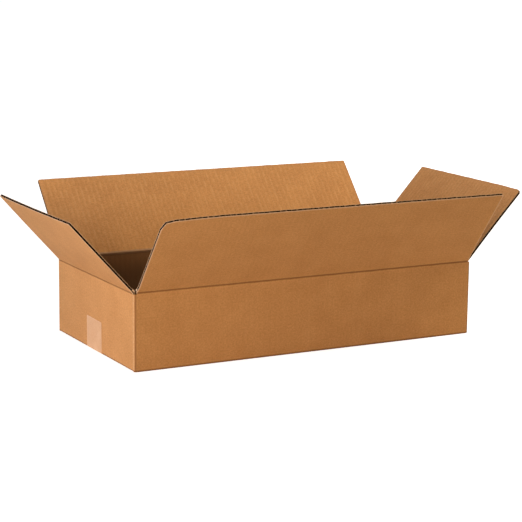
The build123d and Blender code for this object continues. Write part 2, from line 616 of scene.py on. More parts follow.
    def profile(self, side: Side) -> Array:
        """The section of a wall and its bottom flap, row by row.

        Args:
            side: Which wall.

        Returns:
            Heights, depths of the outer and inner face in from the wall, extra height of the inner
            face, how strongly each row takes part in the upright folds, and its height at them.
        """
        foot, low, top = SIZES.foot(side), SIZES.low(side), SIZES.crease(side) - SIZES.join_drop
        radius, round_in = SIZES.fold_radius(side), SIZES.inner_radius
        thickness, pressed = BOARD.thickness, SIZES.pressed
        start, inner_start = low + radius, foot + pressed + round_in
        section = [(SIZES.slot_floor, 0.0, thickness, 0.0, 1.0)]
        for share in self.wall_rows:
            lift = (inner_start - start) * smooth(share, self.lifts_from, 1.0)
            section.append((top + (start - top) * share, 0.0, thickness, lift, 1.0))
        for degrees in self.fold_rows:
            angle = math.radians(degrees)
            down, back = 1.0 - math.sin(angle), 1.0 - math.cos(angle)
            height, inside = low + radius * down, pressed + round_in * back
            lift = foot + pressed + round_in * down - height
            section.append((height, radius * back, inside, lift, 1.0 - degrees / 90.0))
        end, flat = SIZES.flap_end(side), self.flat_from
        hem = [(low if row == 0 else foot, place) for row, place in enumerate(self.hem_rows)]
        rest = [(foot, place) for place in self.flap_rows]
        rest += [(foot, end - inset) for inset in self.edge_rows]
        for height, place in (*hem, *rest):
            out = max(place, SIZES.hem_end) if height < foot else place
            inside = place + (pressed + round_in - radius) * max(flat - place, 0.0) / (flat - radius)
            thin = (thickness - pressed) * (1.0 - smooth(place, radius, SIZES.thins_from))
            section.append((height, out, inside, foot + thickness - thin - height, 0.0))
        section = np.array(section).T
        corners = np.full(section.shape[1], SIZES.wall_foot)
        wall_end = 1 + len(self.wall_rows)
        corners[:wall_end] = section[0, :wall_end]
        corners[wall_end] = (corners[wall_end - 1] + SIZES.wall_foot) / 2.0
        return np.vstack([section, corners])

    def glue_tab(self) -> SheetMesh:
        """The tab that folds off the right wall and is glued inside the back wall.

        Returns:
            The tab's sheet, with rows from its top edge to its bottom edge.
        """
        seam, wide = SIZES.fold_start(Side.RIGHT), self.tab_width + self.tab_root
        u = BOARD.columns(seam, seam + wide, [seam + mark for mark in (self.tab_root, *self.tab_marks)])
        past = u - seam
        x = SIZES.length / 2.0 - BOARD.thickness + self.tab_root - past
        taper = self.tab_taper * np.clip((past - self.tab_root) / self.tab_width, 0.0, 1.0)
        top, foot = self.tab_top - taper, self.tab_foot + taper
        rows = self.tab_rows
        heights = np.stack([top - row for row in rows] + [foot + row for row in rows[::-1]])
        face = SIZES.width / 2.0 - BOARD.thickness - self.tab_play
        crushed = self.tab_crush * (1.0 - smooth(past, *self.tab_crushed))
        faces = (face, face - BOARD.thickness + crushed)
        outer, inner = (np.stack(np.broadcast_arrays(x, y, heights), axis=-1) for y in faces)
        blank = np.stack(np.broadcast_arrays(u, heights), axis=-1)
        fold = np.broadcast_to(np.abs(past - self.tab_root), heights.shape)
        edge = np.minimum(np.minimum(top - heights, heights - foot), wide - past)
        edge = np.maximum(edge, 0.0)
        cells = np.ones((len(heights) - 1, len(u) - 1), bool)
        opened = np.zeros_like(cells)
        opened[:2], opened[-2:] = True, True
        opened |= BOARD.groove(wide - past)
        opened[:, past[:-1] < self.tab_marks[0]] = False
        return SheetMesh(outer, inner, BOARD.levels(u), blank, fold, edge, cells, opened)

    def build(self, finishes: list[Material]) -> Object:
        """Makes the shell and sets it on the carton's body.

        Args:
            finishes: The materials of the outside, the inside and the cut edges.

        Returns:
            The new piece.
        """
        piece = mesh_from_sheets(self.name, [self.ring(), self.glue_tab()])
        dress(piece, finishes)
        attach(piece, "carton")
        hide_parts("carton_body")
        return piece


@dataclass
class TopFlap:
    """One top flap, from just below its crease on the wall to its free edge."""

    side: Side
    lean: float
    seed: int
    wear_start: tuple[Pair, ...] = BLUNT_CORNER
    bow: float = 0.0
    twist: float = 0.0
    curl: float = 0.0
    curl_swell: float = 0.4
    skew: float = 0.0
    trim: Pair = (0.0, 0.0)
    pressed: float = 2.9
    crush_slope: float = 1.6
    crush_half: float = 0.3
    side_crush: float = 0.6
    side_zone: Pair = (0.3, 4.5)
    side_start: Pair = (3.0, 9.0)
    side_laid: Pair = (2.6, 4.6)
    edge_crush: float = 0.6
    edge_zone: float = 9.0
    edge_flat: float = 0.5
    bend: Pair = (-2.2, 2.2)
    pinch: Pair = (-1.8, 1.5)
    ridge: float = 0.28
    ridge_mean: float = 0.8
    ridge_swing: float = 0.35
    ridge_seed: int = 40
    ridge_wave: float = 31.0
    ridges: tuple[Triple, ...] = ((-1.9, 0.9, 1.0), (1.7, 0.8, 0.5))
    trimmed: Pair = (0.8, 9.0)
    trim_length: float = 40.0
    ragged: float = 0.12
    ragged_wave: float = 23.0
    ragged_fade: float = 3.0
    liner_fray: float = 0.05
    medium_fray: float = 0.22
    fray_wave: float = 5.3
    fray_seed: int = 7
    fray_most: float = 0.5
    corner_columns: tuple[float, ...] = (0.0, 0.7, 2.2, 4.4, 18.0)
    wall_rows: tuple[float, ...] = (-5.0, -4.2, -3.4, -2.7, -2.0, -1.4, -0.9, -0.45, -0.15)
    flap_rows: tuple[float, ...] = (
        0.15, 0.45, 0.9, 1.4, 2.0, 2.7, 3.4, 4.4, 6.0, 9.0, 20.0, 40.0, 60.0, 80.0, 100.0,
        118.0, 123.0, 127.0, 129.3, 130.0,
    )
    cut_from: float = -1.0
    worn_from: float = 78.0
    grooved_from: float = 4.0
    open_from: float = 118.0
    blend_half: float = 1.5

    @property
    def node(self) -> str:
        """The flap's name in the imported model."""
        return f"{self.side.name.lower()}_flap"

    @property
    def along(self) -> Array:
        """Direction from the crease to the free edge."""
        lean = math.radians(self.lean)
        return self.side.outward * math.sin(lean) + UP * math.cos(lean)

    def worn(self, a: Array) -> Array:
        """How far the free edge is worn back.

        Args:
            a: Places along the edge, from its middle.

        Returns:
            The wear at each place.
        """
        span = SIZES.span(self.side)
        back = self.ragged * wander(a, self.seed, self.ragged_wave)
        back = back * (1.0 - smooth(np.abs(a), span - self.ragged_fade, span))
        for sign, outline in ((-1.0, self.wear_start), (1.0, BLUNT_CORNER)):
            down, inset = zip(*outline)
            back = back + np.interp(span - sign * a, inset, down, right=0.0)
        return back

    def sheet(self) -> SheetMesh:
        """The flap with the strip of wall below it.

        Returns:
            The sheet, with rows from the wall up to the free edge.
        """
        side, thickness, depth = self.side, BOARD.thickness, SIZES.flap_depth
        middle, span, crease = SIZES.middle(side), SIZES.span(side), SIZES.crease(side)
        marks = [middle + sign * (span - inset) for sign in (-1, 1) for inset in self.corner_columns]
        u = BOARD.columns(middle - span, middle + span, marks)
        a = u - middle
        beside = span - np.abs(a)
        rows = np.array([*self.wall_rows, *self.flap_rows])
        shape = (len(rows), len(u))
        worn = self.worn(a) * smooth(rows, self.worn_from, self.open_from)[:, None]
        s = rows[:, None] - worn
        off, slid = self.drift(a, s)

        path = np.where((s < 0.0)[..., None], UP, self.along) * s[..., None]
        turn = math.radians(self.lean) * smooth(s, *self.bend)[..., None]
        normal = UP * np.sin(turn) - side.outward * np.cos(turn)
        swell = sum(share * np.exp(-(((s - place) / wide) ** 2)) for place, wide, share in self.ridges)
        uneven = wander(a, self.seed + self.ridge_seed, self.ridge_wave)
        swell = swell * self.ridge * (self.ridge_mean + self.ridge_swing * uneven)
        base = side.spot(SIZES.reach(side), a, crease) + path + side.across * slid[..., None]
        outer = base - normal * (swell - off)[..., None]

        moved, thick = SIZES.squeezed(side, a)
        squeeze = 1.0 - smooth(s, *self.pinch)
        room = self.pressed + self.crush_slope * np.maximum(np.abs(s) - self.crush_half, 0.0)
        room = np.minimum(room, thickness)
        room = room - self.edge_crush * smooth(s, depth - self.edge_zone, depth - self.edge_flat)
        at_cut = (1.0 - smooth(beside, *self.side_zone)) * smooth(s, *self.side_start)
        at_cut = at_cut * (1.0 - smooth(s, depth - self.edge_zone, depth))
        deep = room - self.side_crush * at_cut - squeeze * (thickness - thick)
        inner = base + normal * (deep + off)[..., None]
        inner = inner + side.across * (squeeze * (moved - a))[..., None]

        blank = np.stack(np.broadcast_arrays(u, crease + s), axis=-1)
        edge = np.minimum(np.where(s > self.cut_from, beside, FAR), depth - worn - s)
        edge = np.maximum(edge, 0.0)
        cells = np.ones((shape[0] - 1, shape[1] - 1), bool)
        opened = np.zeros_like(cells)
        for sign in (-1.0, 1.0):
            opened |= (rows[:-1] >= self.grooved_from)[:, None] & BOARD.groove(span - sign * a)
        opened[rows[:-1] >= self.open_from] = True
        levels = BOARD.levels(u, laid=1.0 - smooth(beside, *self.side_laid))
        frayed = self.frayed(shape, a)
        return SheetMesh(outer, inner, levels, blank, np.abs(s), edge, cells, opened, frayed)

    def drift(self, a: Array, s: Array) -> tuple[Array, Array]:
        """How far the flap lies off its plane, and out of line along its crease.

        Args:
            a: Places along the crease, from its middle.
            s: Places from the crease to the free edge.

        Returns:
            The distance off the plane towards the inside, and the one along the crease.
        """
        out, span = np.clip(s / SIZES.flap_depth, 0.0, 1.0), SIZES.span(self.side)
        hang = self.curl * (out + self.curl_swell * np.sin(math.pi * out))
        off = hang + out**2 * (self.bow * (1.0 - (a / span) ** 2) + self.twist * a / span)
        start, end = (1.0 - smooth(span + sign * a, 0.0, self.trim_length) for sign in (1.0, -1.0))
        cut = self.trim[0] * start + self.trim[1] * end
        return off, self.skew * out + cut * smooth(s, *self.trimmed)

    def frayed(self, shape: tuple[int, int], a: Array) -> Array:
        """Small unevenness of the liners and the fluted sheet where the free edge was cut.

        Args:
            shape: How many rows and columns there are.
            a: Places along the edge, from its middle.

        Returns:
            How far each level of each station is moved.
        """
        moved = np.zeros((*shape, LEVELS, 3))
        for level in range(LEVELS):
            back = self.medium_fray if level in MEDIUM else self.liner_fray
            sheet_seed = self.seed * self.fray_seed + level // 2
            uneven = back * (1.0 + wander(a, sheet_seed, self.fray_wave))
            moved[-1, :, level] = -np.clip(uneven, 0.0, self.fray_most)[:, None] * self.along
        return moved

    def build(self, finishes: list[Material]) -> Object:
        """Makes the flap and hides the imported one in its place.

        Args:
            finishes: The materials of the outside, the inside and the cut edges.

        Returns:
            The new piece.
        """
        piece = mesh_from_sheets(f"{self.side.name.lower()}_top_flap", [self.sheet()])
        dress(piece, finishes)
        bisector = self.along + UP
        bisector *= self.blend_half * MM / np.linalg.norm(bisector)
        crease = self.side.spot(SIZES.reach(self.side), 0.0, SIZES.crease(self.side)) * MM
        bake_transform(piece)
        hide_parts(self.node)
        return piece


@dataclass
class BottomTape:
    """One strip of packing tape along the bottom seam, with a tab up each end wall."""

    name: str = "packing_tape"
    width: float = 50.0
    thickness: float = 0.12
    rise: float = 44.5
    offset: float = 2.0
    lean: float = 0.8
    tooth: float = 1.6
    tooth_depth: float = 0.55
    step: float = 3.0
    bottom_step: float = 9.0
    torn: float = 0.12
    torn_wave: float = 9.0
    torn_seed: int = 21
    crinkle: float = 0.05
    crinkle_most: float = 0.2
    crinkle_waves: Pair = (17.0, 29.0)
    crinkle_seeds: tuple[int, int] = (11, 12)
    crinkle_slant: float = 0.4
    crinkled: Pair = (7.0, 16.0)
    play: float = 0.03
    straight: float = 8.0
    tab_foot: Pair = (5.0, 2.1)
    bottom: float = 0.06
    turn_in: tuple[Pair, ...] = (
        (0.07, 1.35), (0.55, 0.85), (1.2, 0.62), (2.2, 0.34), (3.0, 0.16), (3.7, 0.07), (5.0, 0.06),
    )

    def path(self) -> tuple[Array, Array]:
        """The strip's line from the top of one tab to the other.

        Returns:
            Points as x and z, and the outward direction at each.
        """
        end = SIZES.length / 2.0
        stand = self.thickness / 2.0 + self.play
        heights = (*np.arange(self.rise, self.straight, -self.step), *self.tab_foot)
        tab = [(end + stand, z) for z in heights]
        turns = [(end - inset, z) for inset, z in self.turn_in]
        run = [(x, self.bottom) for x in np.arange(end - self.straight, 0.0, -self.bottom_step)]
        right = np.array(tab + turns + run)
        left = right[::-1] * np.array([-1.0, 1.0])
        line = np.concatenate([left[1:][::-1], right[::-1][1:]])
        ahead = np.gradient(line, axis=0)
        ahead /= np.linalg.norm(ahead, axis=1)[:, None]
        return line, np.stack([ahead[:, 1], -ahead[:, 0]], axis=1)

    def build(self, finish: Material) -> Object:
        """Makes the strip and sets it on the carton's body.

        Args:
            finish: The tape's material.

        Returns:
            The new piece.
        """
        line, outward = self.path()
        rows, columns = len(line), int(self.width / self.tooth * 2.0) + 1
        across = np.linspace(-self.width / 2.0, self.width / 2.0, columns)
        length = np.concatenate([[0.0], np.cumsum(np.linalg.norm(np.diff(line, axis=0), axis=1))])
        (first, second), seeds = self.crinkle_waves, self.crinkle_seeds
        ripple = wander(across + length[:, None] * self.crinkle_slant, seeds[0], first)
        ripple = ripple * wander(length[:, None], seeds[1], second)
        lift = np.clip(self.crinkle * (1.0 + ripple), 0.0, self.crinkle_most)
        lift = lift * smooth(line[:, 1], *self.crinkled)[:, None]
        spots = np.zeros((rows, columns, 2, 3))
        for layer, stand in enumerate((self.thickness / 2.0, -self.thickness / 2.0)):
            placed = line[:, None] + outward[:, None] * (stand + lift)[..., None]
            spots[:, :, layer, 0] = placed[..., 0]
            spots[:, :, layer, 1] = across + self.offset
            spots[:, :, layer, 2] = np.maximum(placed[..., 1], 0.0)
        torn = self.torn * wander(across, self.torn_seed, self.torn_wave)
        teeth = self.tooth_depth * (np.arange(columns) % 2) + torn
        spots[[0, -1], :, :, 2] += (self.lean * across / self.width - teeth)[:, None]
        ids = np.arange(rows * columns * 2).reshape(rows, columns, 2)
        top = [ids[:-1, :-1, 0], ids[1:, :-1, 0], ids[1:, 1:, 0], ids[:-1, 1:, 0]]
        under = [ids[:-1, :-1, 1], ids[:-1, 1:, 1], ids[1:, 1:, 1], ids[1:, :-1, 1]]
        quads = [np.stack(corners, axis=-1).reshape(-1, 4) for corners in (top, under)]
        rim = [*ids[0], *ids[1:, -1], *ids[-1, ::-1][1:], *ids[::-1, 0][1:-1]]
        for here, there in zip(rim, rim[1:] + rim[:1]):
            quads.append(np.array([[here[0], there[0], there[1], here[1]]]))
        blank, marks = np.zeros((2, rows, columns, 2, 3))
        blank[..., 0] = across[None, :, None]
        blank[..., 1] = length[:, None, None]
        marks[..., 0] = np.abs(line[:, 1] - SIZES.wall_foot)[:, None, None]
        end_gap = np.minimum(length, length[-1] - length)
        marks[..., 1] = np.minimum(self.width / 2.0 - np.abs(across), end_gap[:, None])[..., None]
        polygons = np.concatenate(quads).tolist()
        piece = new_piece(self.name, spots, polygons, {"blank": blank, "marks": marks}, sharp_from=50.0)
        dress(piece, [finish])
        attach(piece, "carton")
        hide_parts("bottom_tape")
        return piece


def dress(piece: Object, finishes: list[Material]) -> None:
    """Gives a piece its materials, in the order of its faces' numbers."""
    for finish in finishes:
        piece.data.materials.append(finish)


@dataclass
class NodeSketch:
    """Adds and joins the nodes of one material, world or node group."""

    tree: NodeTree

    def feed(self, node: Node, inputs: dict[str | int, object]) -> None:
        """Fills a node's sockets.

        Args:
            node: The node.
            inputs: What goes into its sockets. Another socket is joined, and anything else is set.
        """
        for key, value in inputs.items():
            socket = node.inputs[key]
            if isinstance(value, Socket):
                self.tree.links.new(value, socket)
            else:
                socket.default_value = (*value, 1.0) if socket.type == "RGBA" else value

    def add(self, kind: str, inputs: dict[str | int, object] | None = None, **settings: object) -> Node:
        """Adds a node.

        Args:
            kind: The node's type.
            inputs: What goes into its sockets.
            settings: The node's own settings.

        Returns:
            The new node.
        """
        node = self.tree.nodes.new(kind)
        for key, value in settings.items():
            setattr(node, key, value)
        self.feed(node, inputs or {})
        return node

    def math(self, operation: str, *values: object) -> Socket:
        """A calculation on numbers."""
        return self.add("ShaderNodeMath", dict(enumerate(values)), operation=operation).outputs[0]

    def vector(self, operation: str, *values: object) -> Node:
        """A calculation on vectors."""
        return self.add("ShaderNodeVectorMath", dict(enumerate(values)), operation=operation)

    def parts(self, vector: Socket) -> bpy.types.bpy_prop_collection:
        """The three parts of a vector, X, Y and Z."""
        return self.add("ShaderNodeSeparateXYZ", {0: vector}).outputs

    def attribute(self, name: str) -> Socket:
        """A vector that the mesh carries."""
        return self.add("ShaderNodeAttribute", attribute_name=name).outputs["Vector"]

    def noise(self, vector: Socket, scale: float, detail: float, rough: float) -> Socket:
        """A noise value about 0.5.

        Args:
            vector: Where to read it.
            scale: Crests in a metre.
            detail: Finer layers.
            rough: Strength of the finer layers.

        Returns:
            The value's socket.
        """
        inputs = {"Vector": vector, "Scale": scale, "Detail": detail, "Roughness": rough}
        return self.add("ShaderNodeTexNoise", inputs).outputs["Fac"]

    def ramp(
        self, value: Socket, low: float, high: float, start: float = 0.0, end: float = 1.0,
        eased: bool = True,
    ) -> Socket:
        """Maps a value from one range to another.

        Args:
            value: What is mapped.
            low: The value that becomes start.
            high: The value that becomes end.
            start: The result at low.
            end: The result at high.
            eased: Whether it leaves and arrives smoothly.

        Returns:
            The result's socket.
        """
        kind = "SMOOTHSTEP" if eased else "LINEAR"
        inputs = {"Value": value, "From Min": low, "From Max": high, "To Min": start, "To Max": end}
        return self.add("ShaderNodeMapRange", inputs, interpolation_type=kind).outputs["Result"]

    def band(self, value: Socket, comes: Pair, goes: Pair) -> Socket:
        """A mark that comes over one range of a value and goes over another."""
        return self.math("MULTIPLY", self.ramp(value, *comes), self.ramp(value, *goes))

    def blend(self, share: object, first: object, second: object) -> Socket:
        """A colour with a share of a second one mixed in."""
        inputs = {0: share, 6: first, 7: second}
        return self.add("ShaderNodeMix", inputs, data_type="RGBA", clamp_factor=True).outputs[2]

    def paint(self, colour: Socket, layers: list[tuple]) -> Socket:
        """Lays colours over one another.

        Args:
            colour: The colour at the bottom.
            layers: Where each next layer lies, how strongly, and its colour.

        Returns:
            The result's socket.
        """
        for mask, share, over in layers:
            colour = self.blend(self.math("MULTIPLY", mask, share), colour, over)
        return colour


@dataclass
class PaperGroups:
    """The effects that the board's and the tape's materials share, each built once.

    The pairs are distances in metres between which a mark comes or goes.
    """

    line: Pair = (0.0014, 0.0003)
    shoulder_out: Pair = (0.0012, 0.0022)
    shoulder_in: Pair = (0.006, 0.0026)
    rim: Pair = (0.0024, 0.0009)
    corner_in: Pair = (-0.0032, -0.0016)
    corner_out: Pair = (0.0015, 0.0007)
    left_lee_in: Pair = (0.0011, 0.0018)
    left_lee_out: Pair = (0.0043, 0.0032)
    right_lee_in: Pair = (0.0, 0.001)
    right_lee_out: Pair = (0.006, 0.004)
    foot: Pair = (0.004, 0.0021)
    fibre: NodeTree = field(init=False)
    flutes: NodeTree = field(init=False)
    wear: NodeTree = field(init=False)

    def __post_init__(self) -> None:
        """Builds the groups."""
        self.fibre, self.flutes, self.wear = self.paper_fibre(), self.flute_print(), self.fold_wear()

    @staticmethod
    def start(name: str, inputs: dict[str, str], outputs: tuple[str, ...]) -> tuple:
        """Starts a node group with its sockets.

        Args:
            name: The group's name.
            inputs: Type of each input socket by its name.
            outputs: Names of the output sockets, which are all numbers.

        Returns:
            The sketch of its tree, the sockets that it is given, and its output node.
        """
        tree = bpy.data.node_groups.new(name, "ShaderNodeTree")
        for socket, kind in inputs.items():
            tree.interface.new_socket(name=socket, in_out="INPUT", socket_type=f"NodeSocket{kind}")
        for socket in outputs:
            tree.interface.new_socket(name=socket, in_out="OUTPUT", socket_type="NodeSocketFloat")
        sketch = NodeSketch(tree)
        return sketch, sketch.add("NodeGroupInput").outputs, sketch.add("NodeGroupOutput")

    def paper_fibre(self) -> NodeTree:
        """Clouds, formation, long fibres and flecks of recycled kraft paper.

        Returns:
            The node group.
        """
        outputs = ("Cloud", "Formation", "Strand", "Fleck", "Height")
        sketch, given, made = self.start("paper_fibre", {"Blank": "Vector", "Seed": "Vector"}, outputs)
        place = sketch.vector("ADD", given["Blank"], given["Seed"]).outputs[0]
        stretched = sketch.vector("MULTIPLY", place, (0.16, 1.0, 1.0)).outputs[0]
        strand = sketch.noise(stretched, 900.0, 3.0, 0.6)
        fine = sketch.noise(place, 2600.0, 2.0, 0.6)
        sketch.feed(made, {
            "Cloud": sketch.noise(place, 26.0, 3.0, 0.6),
            "Formation": sketch.noise(place, 420.0, 5.0, 0.72),
            "Strand": strand,
            "Fleck": sketch.ramp(sketch.noise(place, 620.0, 1.0, 0.4), 0.70, 0.78),
            "Height": sketch.math("MULTIPLY", sketch.math("ADD", strand, fine), 0.5),
        })
        return sketch.tree

    def flute_print(self) -> NodeTree:
        """Stripes where the liner is glued to the flutes, uneven from one flute to the next.

        Returns:
            The node group.
        """
        inputs = {"Blank": "Vector", "Phase": "Float", "Sharpness": "Float"}
        sketch, given, made = self.start("flute_print", inputs, ("Stripe",))
        flat = sketch.parts(given["Blank"])
        turns = sketch.math("DIVIDE", flat["X"], BOARD.pitch * MM)
        turns = sketch.math("SUBTRACT", turns, given["Phase"])
        wave = sketch.math("COSINE", sketch.math("MULTIPLY", turns, 2.0 * math.pi))
        stripe = sketch.math("POWER", sketch.math("MULTIPLY_ADD", wave, 0.5, 0.5), given["Sharpness"])
        flute = sketch.math("FLOOR", sketch.math("ADD", turns, 0.5))
        across, along = sketch.math("MULTIPLY", flute, 0.37), sketch.math("MULTIPLY", flat["Y"], 26.0)
        place = sketch.add("ShaderNodeCombineXYZ", {"X": across, "Y": along}).outputs[0]
        patchy = sketch.noise(place, 3.1, 3.0, 0.65)
        uneven = sketch.ramp(patchy, 0.38, 0.64, 0.1, 1.0)
        sketch.feed(made, {"Stripe": sketch.math("MULTIPLY", stripe, uneven)})
        return sketch.tree

    def fold_wear(self) -> NodeTree:
        """Painted shade and highlights beside folds and along the walls' foot, and rims beside cut
        edges.

        Returns:
            The node group.
        """
        outputs = ("Line", "Shoulder", "Rim", "Corner", "Lee", "Foot")
        sketch, given, made = self.start("fold_wear", {"Blank": "Vector", "Marks": "Vector"}, outputs)
        gaps, flat = sketch.parts(given["Marks"]), sketch.parts(given["Blank"])
        wobble = sketch.noise(given["Blank"], 120.0, 3.0, 0.6)
        # Patches that break up the painted highlights on the shoulders and at the corner.
        rubbed = sketch.ramp(sketch.noise(given["Blank"], 260.0, 3.0, 0.7), 0.4, 0.65, 0.25, 1.0)
        left_turn = sketch.math("SUBTRACT", flat["X"], SIZES.fold_start(Side.LEFT) * MM)
        right_turn = sketch.math("SUBTRACT", flat["X"], SIZES.fold_start(Side.FRONT) * MM)

        def unsteady(distance: Socket, swing: float) -> Socket:
            """A distance that the wobble changes a little."""
            return sketch.math("MULTIPLY_ADD", wobble, swing, distance)

        # Painted highlight on the shoulders beside the folds.
        shoulder = sketch.band(gaps["X"], self.shoulder_out, self.shoulder_in)
        # Painted highlight at the fold between the left end and the front, on the left end's side,
        # which faces the lamps.
        corner = sketch.band(unsteady(left_turn, 0.0008), self.corner_in, self.corner_out)
        # Painted shade on the front's two upright folds, where they turn away from the lamps.
        left_lee = sketch.band(left_turn, self.left_lee_in, self.left_lee_out)
        right_lee = sketch.band(right_turn, self.right_lee_in, self.right_lee_out)
        sketch.feed(made, {
            # Painted shade along the creases and the walls' lower fold; the inside's pale colour makes
            # it a painted highlight there.
            "Line": sketch.ramp(unsteady(gaps["X"], -0.0009), *self.line),
            "Shoulder": sketch.math("MULTIPLY", shoulder, rubbed),
            "Rim": sketch.ramp(unsteady(gaps["Y"], 0.0008), *self.rim),
            "Corner": sketch.math("MULTIPLY", corner, rubbed),
            "Lee": sketch.math("MAXIMUM", left_lee, right_lee),
            # Painted shade along the lowest few millimetres of the walls, where they stand on the
            # floor.
            "Foot": sketch.ramp(unsteady(flat["Y"], 0.0006), *self.foot),
        })
        return sketch.tree


@dataclass
class MaterialSketch(NodeSketch):
    """A material in the making, with the shared effects placed in it."""

    material: Material
    effects: dict[str, Socket]

    @classmethod
    def start(cls, name: str) -> "MaterialSketch":
        """Starts a material.

        Args:
            name: The material's name.

        Returns:
            The sketch of its nodes, without any effects.
        """
        material = bpy.data.materials.new(name)
        material.use_nodes = True
        return cls(material.node_tree, material, {})

    def place(
        self, groups: PaperGroups, seed: Triple, phase: float, sharpness: float
    ) -> dict[str, Socket]:
        """Places the shared effects.

        Args:
            groups: The shared effects.
            seed: Which part of the paper's noise is read.
            phase: Where the stripes lie, as a share of the pitch.
            sharpness: How narrow the stripes are.

        Returns:
            The sockets of all effects, and of what the mesh carries, by name.
        """
        blank, marks = self.attribute("blank"), self.attribute("marks")
        self.effects |= {"Blank": blank, "Marks": marks}
        for group, inputs in (
            (groups.fibre, {"Blank": blank, "Seed": seed}),
            (groups.flutes, {"Blank": blank, "Phase": phase, "Sharpness": sharpness}),
            (groups.wear, {"Blank": blank, "Marks": marks}),
        ):
            made = self.add("ShaderNodeGroup", inputs, node_tree=group).outputs
            self.effects |= {socket.name: socket for socket in made}
        return self.effects

    def finish(self, inputs: dict[str, object], bump: dict[str, object] | None = None) -> Material:
        """Fills the shader.

        Args:
            inputs: What goes into the shader's sockets.
            bump: What goes into the sockets of its bump, if it has one.

        Returns:
            The finished material.
        """
        if bump:
            inputs = inputs | {"Normal": self.add("ShaderNodeBump", bump).outputs["Normal"]}
        self.feed(self.material.node_tree.nodes["Principled BSDF"], inputs)
        return self.material


@dataclass(frozen=True)
class KraftFinish:
    """The finish of one face of the board."""

    name: str
    pale: Colour
    deep: Colour
    stripe: Colour
    stripe_share: float
    stripe_phase: float
    stripe_sharpness: float
    # Colour of the crease line, the lee and the foot: painted shade on the outside and the cut edges, a
    # painted highlight on the inside.
    line: Colour
    line_share: float
    rim: Colour
    rim_share: float
    seed: Triple
    clouds: tuple[float, ...] = (0.3, 0.7, 0.0, 0.4)
    formation: tuple[float, ...] = (0.37, 0.63, -0.15, 0.75)
    strands: Pair = (0.5, 0.72)
    roughness: tuple[float, ...] = (0.3, 0.7, 0.74, 0.9)
    bump: Pair = (0.35, 0.0002)
    fleck: Colour = (0.16, 0.075, 0.03)
    # Colour of the painted highlight at the front-left upright fold.
    corner: Colour = (0.68, 0.40, 0.21)
    corner_share: float = 0.5
    lee_share: float = 0.75
    foot_share: float = 0.0
    specular: float = 0.25
    # Painted shade: near black in the flute voids past the cut edges, and in the band just under the
    # crease inside.
    hollow: Colour = (0.021, 0.008, 0.002)
    # The fluted sheet near black: partly its own darker paper, partly painted shade of the voids it
    # bounds.
    core: Colour = (0.06, 0.028, 0.01)
    core_share: float = 0.0
    # Painted light on the slope of the fluted sheet that faces the lamps, once a flute, within a few
    # millimetres of the flaps' free edges.
    lit: Colour = (0.72, 0.45, 0.25)
    lit_share: float = 0.6
    # Painted shade inside the carton below the crease, deeper towards the bottom.
    shaded: Colour = (0.16, 0.078, 0.029)
    shaded_share: float = 0.0
    strand_share: float = 0.3
    fleck_share: float = 0.35
    shoulder_share: float = 0.3
    middle_level: float = 0.005
    lip_top: Pair = (0.105, 0.1045)
    lip_foot: Pair = (0.1018, 0.1034)
    shaded_from: Pair = (0.1049, 0.1044)
    deeper_from: Pair = (0.1, 0.07)
    core_range: Pair = (0.0027, 0.0015)
    hollow_from: Pair = (0.0, 0.0004)
    edge_from: Pair = (0.226, 0.23)
    caught: Pair = (0.003, 0.0012)

    def build(self, groups: PaperGroups) -> Material:
        """Builds the material.

        Args:
            groups: The shared effects.

        Returns:
            The new material.
        """
        sketch = MaterialSketch.start(self.name)
        effects = sketch.place(groups, self.seed, self.stripe_phase, self.stripe_sharpness)
        cloud = sketch.ramp(effects["Cloud"], *self.clouds, eased=False)
        fine = sketch.ramp(effects["Formation"], *self.formation, eased=False)
        colour = sketch.blend(sketch.math("ADD", cloud, fine), self.deep, self.pale)
        layers = [
            (sketch.ramp(effects["Strand"], *self.strands), self.strand_share, self.pale),
            (effects["Stripe"], self.stripe_share, self.stripe),
            (effects["Fleck"], self.fleck_share, self.fleck),
            # Painted highlight beside the folds.
            (effects["Shoulder"], self.shoulder_share, self.pale),
            # Painted shade on the upright folds, in the finish's line colour.
            (effects["Lee"], self.lee_share, self.line),
            # Painted shade along the walls' foot.
            (effects["Foot"], self.foot_share, self.line),
            # Painted highlight at the front-left upright fold.
            (effects["Corner"], self.corner_share, self.corner),
            # Painted crease shade, which the inside's pale line colour turns into a painted crease
            # highlight.
            (effects["Line"], self.line_share, self.line),
        ]
        flat = sketch.parts(effects["Blank"])
        # Painted shade of the inside: a near-black band just under the crease, then darker walls, more
        # so towards the bottom.
        if self.shaded_share:
            height = flat["Y"]
            lip = sketch.band(height, self.lip_top, self.lip_foot)
            below = sketch.ramp(height, *self.shaded_from, 0.0, self.shaded_share)
            deeper = sketch.ramp(height, *self.deeper_from, 0.0, 1.0 - self.shaded_share)
            layers += [(lip, 1.0, self.hollow), (sketch.math("ADD", below, deeper), 1.0, self.shaded)]
        layers.append((effects["Rim"], self.rim_share, self.rim))
        # Cut edges: the fluted sheet near black, painted shade in the voids, and painted light on flute
        # slopes at the free edges.
        if self.core_share:
            depth = sketch.parts(effects["Marks"])["Y"]
            level = sketch.math("ABSOLUTE", sketch.math("SUBTRACT", flat["Z"], self.middle_level))
            free_edge = sketch.ramp(flat["Y"], *self.edge_from)
            free_edge = sketch.math("MULTIPLY", free_edge, sketch.ramp(depth, *self.caught))
            layers += [
                (sketch.ramp(level, *self.core_range), self.core_share, self.core),
                (sketch.ramp(depth, *self.hollow_from), 1.0, self.hollow),
                (sketch.math("MULTIPLY", effects["Stripe"], free_edge), self.lit_share, self.lit),
            ]
        return sketch.finish(
            {
                "Base Color": sketch.paint(colour, layers),
                "Roughness": sketch.ramp(effects["Formation"], *self.roughness, eased=False),
                "Specular IOR Level": self.specular,
            },
            bump={"Height": effects["Height"], "Strength": self.bump[0], "Distance": self.bump[1]},
        )


